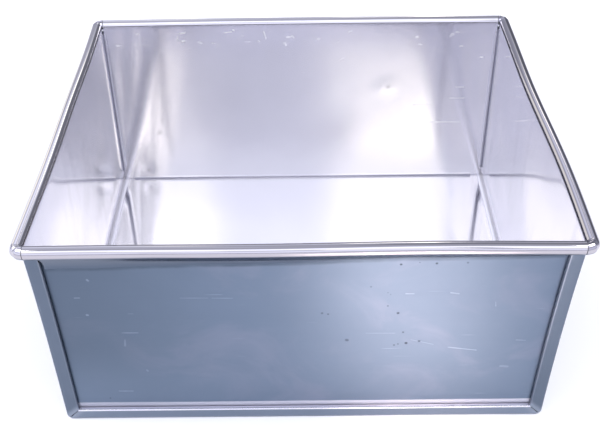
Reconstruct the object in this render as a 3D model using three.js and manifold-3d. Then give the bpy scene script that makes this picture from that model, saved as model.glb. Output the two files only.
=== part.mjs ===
// Deep rectangular sheet-metal baking pan with folded end seams and a wired rim.
// Millimetres, +Z up. The origin is the middle of the underside.
// X runs along the long side, Y from the front panel (-Y) to the back panel (+Y).

import * as THREE from "three";
import { mergeVertices } from "three/addons/utils/BufferGeometryUtils.js";
import Module from "manifold-3d";

const wasm = await Module();
wasm.setup();

// ---------------------------------------------------------------- dimensions
const RIM_LENGTH = 305;        // X, over the rolled rim
const RIM_WIDTH = 266;         // Y, over the rolled rim
const HEIGHT = 139.5;          // underside to the top of the rim
const SHEET = 0.8;             // sheet thickness
const GAP = 0.3;               // clearance between neighbouring pieces
const BEAD_RADIUS = 3.75;      // outer radius of the rolled rim
const WIRE_RADIUS = 2.6;       // radius of the wire inside the rim
const RIM_CORNER = 4.2;        // corner radius of the rim's centre line
const CURL_END = -132;         // degrees; where the roll stops below the rim
const BEND_RADIUS = 3.8;       // outer radius of the floor-to-wall bends
const SEAM_WIDTH = 8;          // width of the folded strip seen from the front
const FOLD_ROUND = 0.7;        // rounding of the folded strip's edges
const MITRE_SLIT = 0.5;        // slit between the strips at the bottom corners
const SIDE_DRAFT = 0.4;        // each side wall leans in by this at the underside
const END_DRAFT = 2.8;         // each end panel leans in by this at the underside

// ---------------------------------------------------------------- derived
const WALL_IN = RIM_LENGTH / 2 - 2 * BEAD_RADIUS;    // inner face of the side walls
const WALL_OUT = WALL_IN + SHEET;
const END_IN = RIM_WIDTH / 2 - 2 * BEAD_RADIUS;      // inner face of the end panels
const END_OUT = END_IN + SHEET;
const RIM_Z = HEIGHT - BEAD_RADIUS;                  // height of the wire's centre
const RIM_X = RIM_LENGTH / 2 - BEAD_RADIUS;          // wire centre line
const RIM_Y = RIM_WIDTH / 2 - BEAD_RADIUS;
const RETURN_IN = END_OUT + GAP;                     // folded-back layer of the trough
const RETURN_OUT = RETURN_IN + SHEET;
const HOOK_IN = RETURN_OUT + GAP;                    // turned-up edge of the panel
const HOOK_OUT = HOOK_IN + SHEET;
const FACE_IN = HOOK_OUT + GAP;                      // visible strip
const FACE_OUT = FACE_IN + SHEET;
const SEAM_TOP = HEIGHT - 2 * BEAD_RADIUS - 0.7;     // the strips stop below the rim
const NOTCH_X = RIM_X - RIM_CORNER - 0.35;           // ends of the end panels' rolls

// ---------------------------------------------------------------- helpers
function solid(geometry) {
  const g = geometry.index ? geometry.toNonIndexed() : geometry.clone();
  g.deleteAttribute("normal");
  if (g.attributes.uv) g.deleteAttribute("uv");
  const m = mergeVertices(g, 1e-4);
  const mesh = new wasm.Mesh({
    numProp: 3,
    vertProperties: new Float32Array(m.attributes.position.array),
    triVerts: new Uint32Array(m.index.array),
  });
  return new wasm.Manifold(mesh);
}

// The walls lean in towards the underside. Every piece takes the same lean, so the
// clearances between them are kept. The rolled rim above its centre stays upright.
function lean(positions) {
  for (let i = 0; i < positions.length; i += 3) {
    const down = Math.max(0, RIM_Z - positions[i + 2]) / RIM_Z;
    positions[i] *= 1 - (SIDE_DRAFT / WALL_IN) * down;
    positions[i + 1] *= 1 - (END_DRAFT / END_IN) * down;
  }
  return positions;
}

function geometryOf(manifold) {
  const mesh = manifold.getMesh();
  const positions = new Float32Array(mesh.numVert * 3);
  for (let v = 0; v < mesh.numVert; v++) {
    for (let k = 0; k < 3; k++) positions[v * 3 + k] = mesh.vertProperties[v * mesh.numProp + k];
  }
  const g = new THREE.BufferGeometry();
  g.setAttribute("position", new THREE.BufferAttribute(lean(positions), 3));
  g.setIndex(new THREE.BufferAttribute(new Uint32Array(mesh.triVerts), 1));
  g.computeVertexNormals();
  return g;
}

function box(x0, x1, y0, y1, z0, z1) {
  const g = new THREE.BoxGeometry(x1 - x0, y1 - y0, z1 - z0);
  g.translate((x0 + x1) / 2, (y0 + y1) / 2, (z0 + z1) / 2);
  return solid(g);
}

// Lower half-outline of the trough's section, set in by d from its outer surface:
// from the top left, down, round the two bends, up to the top right.
function uLine(d, top) {
  const x = WALL_OUT - d;
  const r = Math.max(0, BEND_RADIUS - d);
  const points = [new THREE.Vector2(-x, top)];
  if (r < 0.05) {
    points.push(new THREE.Vector2(-x, d), new THREE.Vector2(x, d));
  } else {
    for (let i = 0; i <= 6; i++) {
      const a = Math.PI + (i / 6) * (Math.PI / 2);
      points.push(new THREE.Vector2(-x + r + r * Math.cos(a), d + r + r * Math.sin(a)));
    }
    for (let i = 0; i <= 6; i++) {
      const a = 1.5 * Math.PI + (i / 6) * (Math.PI / 2);
      points.push(new THREE.Vector2(x - r + r * Math.cos(a), d + r + r * Math.sin(a)));
    }
  }
  points.push(new THREE.Vector2(x, top));
  return points;
}

// U-shaped band between two depths below the trough's outer surface.
function uBand(d0, d1, top) {
  return new THREE.Shape([...uLine(d0, top), ...uLine(d1, top).reverse()]);
}

// Shape drawn in X and Z, pushed out along Y from y0 to y1.
function alongY(shape, y0, y1) {
  const g = new THREE.ExtrudeGeometry(shape, { depth: y1 - y0, bevelEnabled: false, steps: 1 });
  g.rotateX(Math.PI / 2);
  g.translate(0, y1, 0);
  return solid(g);
}

// Same, with rounded edges all round on both faces.
function roundedAlongY(shapeAt, y0, y1, round) {
  const g = new THREE.ExtrudeGeometry(shapeAt, {
    depth: y1 - y0 - 2 * round,
    bevelEnabled: true,
    bevelThickness: round,
    bevelSize: round,
    bevelOffset: -round,
    bevelSegments: 3,
    steps: 1,
  });
  g.rotateX(Math.PI / 2);
  g.translate(0, y1 - round, 0);
  return solid(g);
}

const frontAndBack = (build) => [build(-1), build(1)];
const span = (side, near, far) => (side < 0 ? [-far, -near] : [near, far]);

// ---------------------------------------------------------------- rim
// Centre line of the rim, in plan, as straight runs and quarter turns. Points are placed
// only where the line bends.
class RimLine extends THREE.Curve {
  constructor(points, tangents) {
    super();
    this.points = points;
    this.tangents = tangents;
  }
  at(list, u) {
    const f = u * (list.length - 1);
    const i = Math.min(list.length - 2, Math.floor(f));
    return list[i].clone().lerp(list[i + 1], f - i);
  }
  getPoint(u) { return this.at(this.points, u); }
  getPointAt(u) { return this.at(this.points, u); }
  getTangent(u) { return this.at(this.tangents, u).normalize(); }
  getTangentAt(u) { return this.at(this.tangents, u).normalize(); }
  get steps() { return this.points.length - 1; }
}

// Quarter turn about a corner of the rim, counter-clockwise in plan.
function turn(line, cx, cy, startDeg, count) {
  for (let i = 0; i <= count; i++) {
    const a = THREE.MathUtils.degToRad(startDeg + (90 * i) / count);
    line.points.push(new THREE.Vector3(cx + RIM_CORNER * Math.cos(a), cy + RIM_CORNER * Math.sin(a), RIM_Z));
    line.tangents.push(new THREE.Vector3(-Math.sin(a), Math.cos(a), 0));
  }
}

const CX = RIM_X - RIM_CORNER;
const CY = RIM_Y - RIM_CORNER;

function sideLine(sign) {
  const line = { points: [], tangents: [] };
  if (sign > 0) {
    turn(line, CX, -CY, -90, 8);
    turn(line, CX, CY, 0, 8);
  } else {
    turn(line, -CX, CY, 90, 8);
    turn(line, -CX, -CY, 180, 8);
  }
  return new RimLine(line.points, line.tangents);
}

function endLine(sign) {
  const t = new THREE.Vector3(-sign, 0, 0);
  const y = sign * RIM_Y;
  return new RimLine(
    [new THREE.Vector3(sign * NOTCH_X, y, RIM_Z), new THREE.Vector3(-sign * NOTCH_X, y, RIM_Z)],
    [t, t.clone()],
  );
}

// One wire, with its two ends butted at the middle of the back.
function wireLine() {
  const line = { points: [], tangents: [] };
  const west = new THREE.Vector3(-1, 0, 0);
  line.points.push(new THREE.Vector3(-0.4, RIM_Y, RIM_Z));
  line.tangents.push(west);
  turn(line, -CX, CY, 90, 8);
  turn(line, -CX, -CY, 180, 8);
  turn(line, CX, -CY, 270, 8);
  turn(line, CX, CY, 0, 8);
  line.points.push(new THREE.Vector3(0.4, RIM_Y, RIM_Z));
  line.tangents.push(west);
  return new RimLine(line.points, line.tangents);
}

// In the sweep the section's first axis points down and its second towards the inside.
const sectionPoint = (outward, up) => new THREE.Vector2(-up, -outward);

function curlShape() {
  const count = 22;
  const outer = [];
  const inner = [];
  for (let i = 0; i <= count; i++) {
    const a = THREE.MathUtils.degToRad(180 + ((CURL_END - 180) * i) / count);
    outer.push(sectionPoint(BEAD_RADIUS * Math.cos(a), BEAD_RADIUS * Math.sin(a)));
    const r = BEAD_RADIUS - SHEET;
    inner.push(sectionPoint(r * Math.cos(a), r * Math.sin(a)));
  }
  return new THREE.Shape([...outer, ...inner.reverse()]);
}

function wireShape() {
  const points = [];
  for (let i = 0; i < 18; i++) {
    const a = (i / 18) * 2 * Math.PI;
    points.push(sectionPoint(WIRE_RADIUS * Math.cos(a), WIRE_RADIUS * Math.sin(a)));
  }
  return new THREE.Shape(points);
}

function sweep(shape, line) {
  return solid(new THREE.ExtrudeGeometry(shape, { steps: line.steps, bevelEnabled: false, extrudePath: line, curveSegments: 1 }));
}

// ---------------------------------------------------------------- trough
function buildTrough() {
  // Left wall, floor and right wall in one bent sheet, up to the rim.
  let body = alongY(uBand(0, SHEET, RIM_Z), -(FACE_IN + 0.1), FACE_IN + 0.1);
  // Above the seams the sheet stops at the end panels' inner faces.
  for (const [y0, y1] of frontAndBack((s) => span(s, END_IN - GAP, FACE_OUT + 5))) {
    body = body.subtract(box(-WALL_OUT - 5, WALL_OUT + 5, y0, y1, SEAM_TOP, RIM_Z + 5));
  }
  // Folded seams: the visible strip, the fold at its inner edge and the layer folded back.
  for (const side of [-1, 1]) {
    const strip = roundedAlongY(uBand(0, SEAM_WIDTH, SEAM_TOP), ...span(side, FACE_OUT - 2 * FOLD_ROUND, FACE_OUT), FOLD_ROUND - 0.02);
    const faceOnly = strip.subtract(
      alongY(uBand(-3, SEAM_WIDTH + 3, SEAM_TOP + 3), ...span(side, FACE_OUT - 2 * FOLD_ROUND - 1, FACE_IN)),
    );
    const fold = alongY(uBand(SEAM_WIDTH - SHEET, SEAM_WIDTH - 0.03, SEAM_TOP), ...span(side, RETURN_IN, FACE_IN + 0.3));
    const back = alongY(uBand(2 * SHEET + 2 * GAP, SEAM_WIDTH - 0.03, SEAM_TOP), ...span(side, RETURN_IN, RETURN_OUT));
    let seam = faceOnly.add(fold).add(back);
    // Slits where the side strips meet the bottom strip.
    for (const sx of [-1, 1]) {
      const reach = (SEAM_WIDTH + 2) * Math.SQRT2;
      const slit = new THREE.BoxGeometry(reach, 12, MITRE_SLIT);
      slit.translate(reach / 2 + 1.9, 0, 0);
      slit.rotateY(sx > 0 ? -Math.PI * 0.75 : -Math.PI * 0.25);
      slit.translate(sx * WALL_OUT, side * (FACE_OUT - 2), 0);
      seam = seam.subtract(solid(slit));
    }
    body = body.add(seam);
  }
  // Rolled top edges, carried round the corners.
  for (const sign of [-1, 1]) body = body.add(sweep(curlShape(), sideLine(sign)));
  return body;
}

// ---------------------------------------------------------------- end panels
function buildPanel(side) {
  const inset = SHEET + GAP;
  const outline = uLine(inset, RIM_Z);
  let panel = alongY(new THREE.Shape(outline), ...span(side, END_IN, END_OUT));
  // Hooked edges held inside the folds of the trough, notched at the bottom corners.
  const hookTop = SEAM_TOP - 1.5;
  const web = alongY(uBand(inset, inset + SHEET, hookTop), ...span(side, END_IN + 0.2, HOOK_OUT));
  const hook = alongY(uBand(inset, SEAM_WIDTH - SHEET - GAP, hookTop), ...span(side, HOOK_IN, HOOK_OUT));
  let edge = web.add(hook);
  for (const sx of [-1, 1]) {
    const x0 = sx > 0 ? WALL_OUT - SEAM_WIDTH - 1 : -WALL_OUT - 1;
    const [y0, y1] = span(side, END_OUT, HOOK_OUT + 1);
    edge = edge.subtract(box(x0, x0 + SEAM_WIDTH + 2, y0, y1, -1, SEAM_WIDTH + 1));
  }
  panel = panel.add(edge);
  // Room for the corner rolls of the trough.
  for (const sx of [-1, 1]) {
    const x0 = sx > 0 ? NOTCH_X : -WALL_OUT - 1;
    const x1 = sx > 0 ? WALL_OUT + 1 : -NOTCH_X;
    panel = panel.subtract(box(x0, x1, ...span(side, END_IN - 1, HOOK_OUT + 1), SEAM_TOP, RIM_Z + 1));
  }
  return panel.add(sweep(curlShape(), endLine(side)));
}

// ---------------------------------------------------------------- assembly
function mesh(name, manifold, color, roughness, metalness) {
  const m = new THREE.Mesh(geometryOf(manifold), new THREE.MeshStandardMaterial({ color, roughness, metalness }));
  m.name = name;
  return m;
}

const pan = new THREE.Group();
pan.add(mesh("trough", buildTrough(), 0xaeb4c2, 0.32, 1));
pan.add(mesh("front_panel", buildPanel(-1), 0xa6b0c4, 0.34, 1));
pan.add(mesh("back_panel", buildPanel(1), 0xb2b6c6, 0.32, 1));
pan.add(mesh("rim_wire", sweep(wireShape(), wireLine()), 0x8d9096, 0.4, 1));

export default pan;
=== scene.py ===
import math

import bmesh
import bpy
import numpy as np
from mathutils import Matrix, Vector


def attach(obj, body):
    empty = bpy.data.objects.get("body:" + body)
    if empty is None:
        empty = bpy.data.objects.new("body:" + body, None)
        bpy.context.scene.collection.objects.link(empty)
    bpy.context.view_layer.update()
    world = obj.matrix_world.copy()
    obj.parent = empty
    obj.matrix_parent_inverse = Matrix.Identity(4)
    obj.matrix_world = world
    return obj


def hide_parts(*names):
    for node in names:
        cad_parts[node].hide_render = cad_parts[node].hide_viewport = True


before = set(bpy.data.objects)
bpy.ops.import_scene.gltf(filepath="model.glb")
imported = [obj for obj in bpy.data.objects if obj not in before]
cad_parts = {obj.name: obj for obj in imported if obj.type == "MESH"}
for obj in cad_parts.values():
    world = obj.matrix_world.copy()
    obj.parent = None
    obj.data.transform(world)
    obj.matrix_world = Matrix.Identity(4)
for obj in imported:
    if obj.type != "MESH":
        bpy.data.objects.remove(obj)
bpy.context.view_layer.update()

scene = bpy.context.scene
MM = 0.001

# ------------------------------------------------------------------ dimensions
RIM_LENGTH, RIM_WIDTH, HEIGHT = 305.0, 266.0, 139.5
SHEET, GAP = 0.8, 0.3
BEAD_R, RIM_CORNER, CURL_END, WIRE_R = 3.75, 4.2, -132.0, 2.5
BEND_R, SEAM_W = 3.8, 8.0
SIDE_DRAFT, END_DRAFT = 0.4, 2.8
FOLD_R, HOOK_R, HOOK_GAP = 0.55, 0.5, 0.1
HALF = SHEET / 2
WALL_IN = RIM_LENGTH / 2 - 2 * BEAD_R
WALL_OUT = WALL_IN + SHEET
END_IN = RIM_WIDTH / 2 - 2 * BEAD_R
END_OUT = END_IN + SHEET
PANEL_MID = END_IN + HALF
RETURN_MID = END_OUT + GAP + HALF
HOOK_MID = RETURN_MID + SHEET + GAP
FACE_MID = HOOK_MID + SHEET + GAP
RIM_Z = HEIGHT - BEAD_R
RIM_X = RIM_LENGTH / 2 - BEAD_R
RIM_Y = RIM_WIDTH / 2 - BEAD_R
CURL_R = BEAD_R - HALF
CX, CY = RIM_X - RIM_CORNER, RIM_Y - RIM_CORNER
SEAM_TOP = HEIGHT - 2 * BEAD_R - 0.7
NOTCH_X = CX - 0.35
CURL_ANGLES = np.radians(np.linspace(180.0, CURL_END, 37))


# ------------------------------------------------------------------ hand-made unevenness
def smooth(t):
    t = np.clip(t, 0.0, 1.0)
    return t * t * (3 - 2 * t)


def ripple(a, b, seed, waves, long_a, long_b):
    """Smooth seeded unevenness over two coordinates, about -1 to 1."""
    rng = np.random.RandomState(seed)
    out = np.zeros_like(a)
    for _ in range(waves):
        ka, kb = rng.uniform(0.35, 1.0) / long_a, rng.uniform(0.35, 1.0) / long_b
        out += np.sin(2 * math.pi * (ka * a * rng.choice([-1, 1]) + kb * b) + rng.uniform(0, 6.28))
    return out / math.sqrt(waves)


def window(a, low, high, soft):
    return smooth((a - low) / soft) * smooth((high - a) / soft)


def dent(a, b, at, size, depth):
    return depth * np.exp(-(((a - at[0]) / size[0]) ** 2 + ((b - at[1]) / size[1]) ** 2))


def shape(points):
    """Lean of the walls, then the slight bows and bulges of bent sheet, alike for every piece."""
    p = np.array(points, float)
    x, y, z = p[:, 0].copy(), p[:, 1].copy(), p[:, 2].copy()
    down = np.maximum(0.0, RIM_Z - z) / RIM_Z
    lx = x * (1 - SIDE_DRAFT / WALL_IN * down)
    ly = y * (1 - END_DRAFT / END_IN * down)
    lz = z.copy()
    up = np.clip(z / HEIGHT, 0, 1)
    # side rims open a little towards the front corners
    edge_x = smooth((np.abs(x) - 90) / 52)
    front = np.clip((60 - y) / 193, 0, 1.02)
    lx += edge_x * np.where(x > 0, 2.6, -1.5) * front ** 1.7 * up ** 3
    lx += edge_x * np.where(x > 0, 3.2, 0.0) * np.exp(-((y + 78) / 85) ** 2) * up ** 1.2
    lx -= edge_x * np.sign(x) * 0.5 * (1 - up) * front
    # rim runs slightly uneven
    rim = up ** 4
    edge_y = smooth((np.abs(y) - 80) / 40)
    lx += rim * edge_x * 0.35 * ripple(y, x * 0.1, 11, 4, 120, 400)
    ly += rim * edge_y * 0.35 * ripple(x, y * 0.1, 12, 4, 130, 400)
    lz += rim * 0.3 * ripple(x, y, 13, 4, 190, 190)
    # sheet between the seams is not quite flat
    side_wall = np.abs(x) > 140
    end_wall = (np.abs(y) > 120) & (np.abs(y) < 126.2) & (np.abs(x) < 140)
    floor = z < 1.0
    in_y, in_z = window(y, -122, 122, 45), window(z, 8, 131, 40)
    in_x = window(x, -138, 138, 45)
    wall_bulge = 0.4 * ripple(y, z, 21, 5, 150, 110) + 0.07 * ripple(y + x, z, 22, 6, 62, 55)
    front_bulge = 0.22 * ripple(x, z + y, 23, 5, 190, 110) + 0.05 * ripple(x + y, z, 24, 6, 66, 60)
    back_bulge = 0.12 * ripple(x, z, 27, 4, 330, 120) + 0.02 * ripple(x, z, 28, 5, 120, 60)
    lift = 0.15 + 0.08 * ripple(x, y, 25, 4, 330, 160) + 0.02 * ripple(x, y, 26, 5, 120, 70)
    lx += np.where(side_wall, np.sign(x) * in_y * in_z * wall_bulge, 0)
    ly += np.where(end_wall, np.sign(y) * in_x * in_z * np.where(y < 0, front_bulge, back_bulge), 0)
    lz += np.where(floor, np.clip(1 - (x / 141) ** 2, 0, 1) * np.clip(1 - (y / 120) ** 2, 0, 1) * lift, 0)
    # small knocks from use
    back_wall, front_wall = end_wall & (y > 0), end_wall & (y < 0)
    ly += np.where(back_wall, dent(x, z, (-126, 11), (4, 4), 0.22) + dent(x, z, (64, 84), (7, 6), -0.25), 0)
    ly += np.where(front_wall, dent(x, z, (64, 60), (12, 6), 0.22) + dent(x, z, (-112, 88), (8, 8), 0.15), 0)
    return np.stack([lx, ly, lz], 1)


# ------------------------------------------------------------------ sheet-metal builder
class Sheet:
    """One sheet's middle surface, welded from grids, then thickened to a closed solid."""

    def __init__(self):
        self.points, self.index, self.faces, self.uvs, self.bend = [], {}, [], [], []

    def vert(self, p, bend):
        key = (round(float(p[0]), 4), round(float(p[1]), 4), round(float(p[2]), 4))
        i = self.index.get(key)
        if i is None:
            i = len(self.points)
            self.index[key] = i
            self.points.append([float(p[0]), float(p[1]), float(p[2])])
            self.bend.append(float(bend))
        else:
            self.bend[i] = max(self.bend[i], float(bend))
        return i

    def face(self, ids, uvs):
        keep = [k for k in range(len(ids)) if ids[k] != ids[k - 1]]
        if len(keep) >= 3:
            self.faces.append([ids[k] for k in keep])
            self.uvs.append([uvs[k] for k in keep])

    def grid(self, P, UV, bend=0.0):
        P, UV = np.asarray(P, float), np.asarray(UV, float)
        n, m = P.shape[:2]
        B = np.broadcast_to(bend, (n, m))
        ids = [[self.vert(P[i, j], B[i, j]) for j in range(m)] for i in range(n)]
        for i in range(n - 1):
            for j in range(m - 1):
                at = ((i, j), (i + 1, j), (i + 1, j + 1), (i, j + 1))
                self.face([ids[a][b] for a, b in at], [tuple(UV[a, b]) for a, b in at])

    def solid(self, name, outward):
        """outward(centre) gives the direction that counts as the outside at a face's centre."""
        co = shape(self.points) * MM
        mesh = bpy.data.meshes.new(name)
        bm = bmesh.new()
        layer = bm.loops.layers.uv.new("sheet")
        verts = [bm.verts.new(c) for c in co]
        for ids, uvs in zip(self.faces, self.uvs):
            f = bm.faces.new([verts[i] for i in ids])
            f.smooth = True
            for loop, uv in zip(f.loops, uvs):
                loop[layer].uv = (uv[0] * MM, uv[1] * MM)
        bmesh.ops.recalc_face_normals(bm, faces=bm.faces)
        bm.normal_update()
        votes = sum(f.calc_area() * f.normal.dot(outward(f.calc_center_median() / MM)) for f in bm.faces)
        if votes < 0:
            bmesh.ops.reverse_faces(bm, faces=bm.faces)
        bm.to_mesh(mesh)
        bm.free()
        # the bend weights make folds and bends smoother and also carry a painted highlight on them
        wear_and_sheen = mesh.attributes.new("burnish_and_sheen", "FLOAT", "POINT")
        wear_and_sheen.data.foreach_set("value", np.array(self.bend, np.float32))
        thin = bpy.data.objects.new(name + "_thin", mesh)
        scene.collection.objects.link(thin)
        thick = thin.modifiers.new("thickness", "SOLIDIFY")
        thick.thickness = SHEET * MM
        thick.offset = 0.0
        thick.use_even_offset = True
        thick.use_quality_normals = True
        thick.material_offset = 1
        thick.material_offset_rim = 2
        for _ in range(3):
            mesh.materials.append(None)
        bpy.context.view_layer.update()
        dg = bpy.context.evaluated_depsgraph_get()
        made = bpy.data.meshes.new_from_object(thin.evaluated_get(dg), preserve_all_data_layers=True, depsgraph=dg)
        made.name = name
        bpy.data.objects.remove(thin)
        bpy.data.meshes.remove(mesh)
        made.polygons.foreach_set("use_smooth", np.ones(len(made.polygons), bool))
        made.set_sharp_from_angle(angle=math.radians(50))
        piece = bpy.data.objects.new(name, made)
        scene.collection.objects.link(piece)
        return piece


def polyline(points, fractions):
    """Points at the given fractions of a polyline's length."""
    points = np.asarray(points, float)
    step = np.linalg.norm(np.diff(points, axis=0), axis=1)
    run = np.concatenate([[0], np.cumsum(step)])
    at = np.asarray(fractions) * run[-1]
    return np.stack([np.interp(at, run, points[:, k]) for k in range(points.shape[1])], 1)


def length(points):
    return float(np.linalg.norm(np.diff(np.asarray(points, float), axis=0), axis=1).sum())


# ------------------------------------------------------------------ trough
ARC = (BEND_R - HALF) * math.pi / 4
FLOOR_HALF = WALL_OUT - BEND_R + ARC
WALL_HALF = ARC + SEAM_TOP - BEND_R
F_FLOOR = np.concatenate([np.linspace(0, WALL_OUT - BEND_R, 38), WALL_OUT - BEND_R + np.linspace(0, ARC, 6)[1:]]) / FLOOR_HALF
F_WALL = np.concatenate([np.linspace(0, ARC, 6)[:-1], ARC + np.linspace(0, SEAM_TOP - BEND_R, 34)]) / WALL_HALF
U_FLOOR = np.concatenate([-F_FLOOR[::-1], F_FLOOR[1:]]) * FLOOR_HALF
U_RIGHT = FLOOR_HALF + F_WALL * WALL_HALF
U_LEFT = -U_RIGHT[::-1]


def slit(depth):
    """Half of the mitre slit at a bottom corner: shut at the bend, open across the strips."""
    return 0.30 * float(smooth((depth - 1.5) / 0.9))


def lower_row(depth):
    """Sections at a depth below the outer surface: left wall down, floor across, right wall up, as (x, z)."""
    r, cx, cz, cut = BEND_R - depth, WALL_OUT - BEND_R, BEND_R, slit(depth)
    if r > 0:
        low = [(cx + r * math.cos(a), cz + r * math.sin(a)) for a in np.radians(np.linspace(-90, -45, 13))]
        high = [(cx + r * math.cos(a), cz + r * math.sin(a)) for a in np.radians(np.linspace(-45, 0, 13))]
    else:
        low = high = [(WALL_OUT - depth, depth)]
    across, upright = [(0, depth)] + low, high + [(WALL_OUT - depth, SEAM_TOP)]
    half = polyline(across, F_FLOOR * (1 - cut / length(across)))
    floor = np.concatenate([half[::-1] * [-1, 1], half[1:]])
    part = cut / length(upright)
    wall = polyline(upright, part + F_WALL * (1 - part))
    return wall[::-1] * [-1, 1], floor, wall


def build_trough():
    s = Sheet()
    ys = np.linspace(-CY, CY, 61)

    def sheet_rows(rows, v):
        """Left wall, floor and right wall over a list of (y, depth, burnish) rows."""
        made = [lower_row(d) for _, d, _ in rows]
        for k, u in ((0, U_LEFT), (1, U_FLOOR), (2, U_RIGHT)):
            P = np.stack([np.stack([m[k][:, 0], np.full(len(u), row[0]), m[k][:, 1]], 1) for m, row in zip(made, rows)])
            UV = np.stack(np.broadcast_arrays(u[None, :], np.asarray(v)[:, None]), 2)
            bent = (np.abs(np.abs(u) - FLOOR_HALF) < ARC + 0.1) * 0.3
            wear_and_sheen = 1.0 if k == 1 else 0.25
            s.grid(P, UV, np.maximum(np.array([b for _, _, b in rows])[:, None] * wear_and_sheen, bent[None, :]))

    sheet_rows([(y, HALF, 0.0) for y in ys], ys)
    for sx in (-1, 1):
        # wall above the seams, then the roll
        zs = np.array([SEAM_TOP, (SEAM_TOP + RIM_Z) / 2, RIM_Z])
        roll = np.stack([RIM_X + CURL_R * np.cos(CURL_ANGLES[1:]), RIM_Z + CURL_R * np.sin(CURL_ANGLES[1:])], 1)
        top = np.concatenate([np.stack([np.full(3, RIM_X - CURL_R), zs], 1), roll])
        u = np.concatenate([zs - SEAM_TOP, RIM_Z - SEAM_TOP + CURL_R * (CURL_ANGLES[0] - CURL_ANGLES[1:])]) + FLOOR_HALF + WALL_HALF
        P = np.stack([np.stack([sx * top[:, 0], np.full(len(top), y), top[:, 1]], 1) for y in ys])
        UV = np.stack(np.broadcast_arrays(sx * u[None, :], ys[:, None]), 2)
        s.grid(P, UV, ((np.arange(len(top)) > 2) * 1.0)[None, :])
        # the roll carried round both corners, a little puckered where the sheet is gathered
        for sy in (-1, 1):
            turn = np.radians(np.linspace(0, 90, 37))
            R = np.zeros((len(turn), len(CURL_ANGLES), 3))
            UV = np.zeros((len(turn), len(CURL_ANGLES), 2))
            round_it = np.clip(np.sin((CURL_ANGLES[0] - CURL_ANGLES) * 0.5), 0, 1)
            for i, t in enumerate(turn):
                pucker = 0.16 * math.sin(9 * t + 0.9 * sx + 1.7 * sy) * math.sin(2 * t) ** 2 - 0.14 * math.exp(-((t - 0.78) / 0.06) ** 2)
                rr = CURL_R + pucker * round_it
                radial = RIM_CORNER + rr * np.cos(CURL_ANGLES)
                R[i] = np.stack([sx * (CX + radial * math.cos(t)), sy * (CY + radial * math.sin(t)), RIM_Z + rr * np.sin(CURL_ANGLES)], 1)
                UV[i, :, 0] = sx * (FLOOR_HALF + WALL_HALF + RIM_Z - SEAM_TOP + CURL_R * (CURL_ANGLES[0] - CURL_ANGLES))
                UV[i, :, 1] = sy * (CY + RIM_CORNER * t)
            s.grid(R, UV, 1.0)
    # folded seams at the two ends: bend, face, tight fold with a flat top, inner layer
    top = SEAM_W - HALF
    for sy in (-1, 1):
        rows = [(y, HALF, 0.0) for y in np.linspace(CY, FACE_MID - 1.0, 4)]
        rows += [(FACE_MID - 1.0 + math.sin(a), HALF + 1.0 - math.cos(a), 0.3) for a in np.radians(np.linspace(0, 90, 7))[1:]]
        rows += [(FACE_MID, d, 0.0) for d in np.linspace(HALF + 1.0, top - FOLD_R, 6)[1:]]
        rows += [(FACE_MID - FOLD_R + FOLD_R * math.cos(a), top - FOLD_R + FOLD_R * math.sin(a), 1.0) for a in np.radians(np.linspace(0, 90, 6))[1:]]
        rows += [(RETURN_MID + FOLD_R - FOLD_R * math.sin(a), top - FOLD_R + FOLD_R * math.cos(a), 1.0) for a in np.radians(np.linspace(0, 90, 6))]
        rows += [(RETURN_MID, d, 0.0) for d in np.linspace(top - FOLD_R, 2 * SHEET + 2 * GAP, 4)[1:]]
        run = np.concatenate([[0], np.cumsum([math.dist(rows[i][:2], rows[i + 1][:2]) for i in range(len(rows) - 1)])])
        sheet_rows([(sy * y, d, b) for y, d, b in rows], sy * (CY + run))

    def outward(c):
        if c.z > RIM_Z - 6 or abs(c.y) > CY:
            return Vector((0, 0, 0))
        return Vector((c.x / 145.0, 0.0, -1.0 if c.z < 3 else 0.0))

    piece = s.solid("trough_sheet", outward)
    # the floor takes a finish of its own, up to the middle of the bends
    piece.data.materials.append(None)
    bend_middle = (BEND_R - (BEND_R - SHEET) * math.cos(math.pi / 4)) * MM
    for poly in piece.data.polygons:
        if poly.material_index == 1 and poly.center.z < bend_middle:
            poly.material_index = 3
    return piece


# ------------------------------------------------------------------ end panels
HEM_Z, HEM_TILT, HEM_WAVES = 127.5, 0.022, ((0.3, 0.061, 1.0), (0.15, 0.17, 2.0))


def hem_foot(x, side):
    """Height of the hem's lower edge, which runs slightly out of level and uneven."""
    return HEM_Z - side * HEM_TILT * x + sum(a * math.sin(x * k + p * side) for a, k, p in HEM_WAVES)


def roll_profile(x, side):
    """Rolled top edge of a panel at one place along it, as (distance from the middle, height).

    Between the seams the end of the roll hangs down as a narrow flat lip in line with the
    strips beside it; over the seams it stays a plain curl."""
    curl = np.stack([RIM_Y + CURL_R * np.cos(CURL_ANGLES), RIM_Z + CURL_R * np.sin(CURL_ANGLES)], 1)
    n = len(CURL_ANGLES)
    leave = math.radians(-24.0)
    n_arc = int(n * 0.68)
    arc = np.linspace(math.pi, leave, n_arc)
    hem = np.stack([RIM_Y + CURL_R * np.cos(arc), RIM_Z + CURL_R * np.sin(arc)], 1)
    end = np.array([FACE_MID - 0.1, hem_foot(x, side)])
    start, along = hem[-1], np.array([math.sin(leave), -math.cos(leave)])
    short = min(1.0, (start[1] - end[1]) / 8.7)
    c1, c2 = start + along * 2.6 * short, end + np.array([0.15, 3.0 * short])
    t = np.linspace(0, 1, n - n_arc + 1)[1:, None]
    tail = (1 - t) ** 3 * start + 3 * (1 - t) ** 2 * t * c1 + 3 * (1 - t) * t * t * c2 + t ** 3 * end
    hem = np.concatenate([hem, tail])
    blend = float(smooth((137.2 - abs(x)) / 2.0))
    return curl * (1 - blend) + hem * blend


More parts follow.
